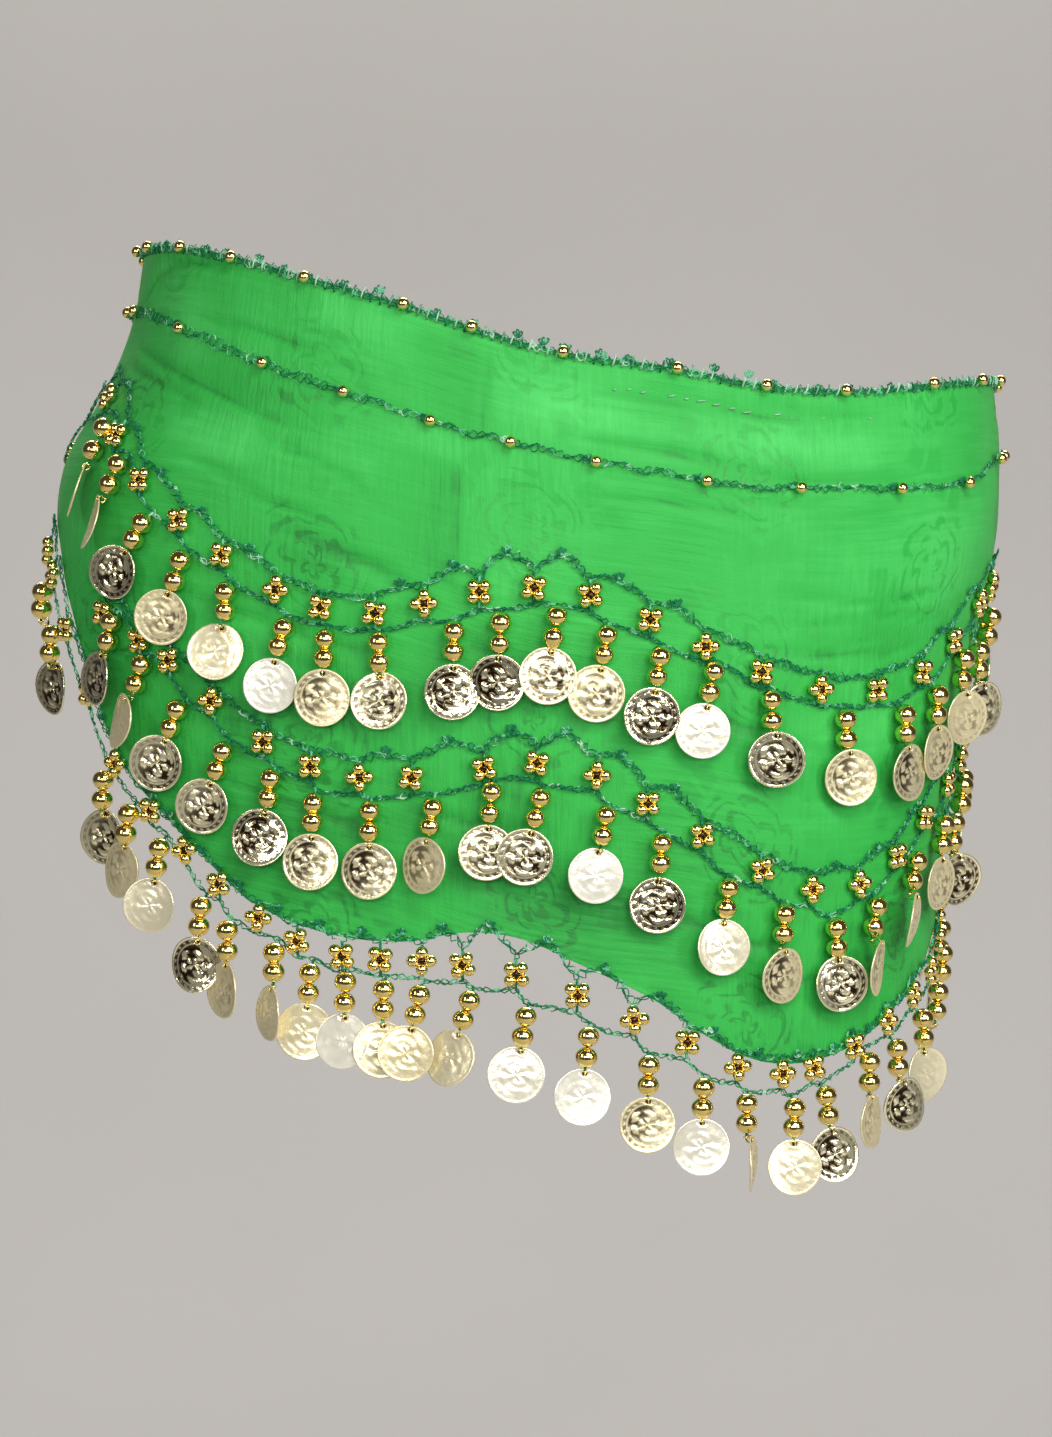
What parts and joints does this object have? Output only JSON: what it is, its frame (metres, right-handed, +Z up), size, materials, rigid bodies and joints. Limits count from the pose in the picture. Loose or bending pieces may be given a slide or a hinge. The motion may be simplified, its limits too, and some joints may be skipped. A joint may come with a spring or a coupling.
{
  "type": "belly dance hip scarf",
  "caption": "Green chiffon belly dance hip scarf tied round the hips with a knot at the back, with beaded crochet chains and scalloped rows of gold coin drops.",
  "frame": {"origin": "middle of the hollow, level with the part of the hips that holds the scarf up", "axes": "+Z up, -Y towards the front of the wearer, +X towards the right-hand side of the front view"},
  "size_m": [0.3375, 0.2735, 0.3214],
  "materials": {
    "chiffon": "sheer chiffon with a faint tonal jacquard",
    "crochet": "twisted crochet yarn",
    "gold": "bright stamped gold-coloured metal"
  },
  "bodies": {
    "root": {"scarf_wrap": "chiffon", "knot": "chiffon", "tail_left": "chiffon", "tail_right": "chiffon", "top_edging": "crochet", "beaded_chain": "crochet", "coin_row_1": "gold", "coin_row_2": "gold", "coin_row_3": "gold"}
  },
  "joints": []
}
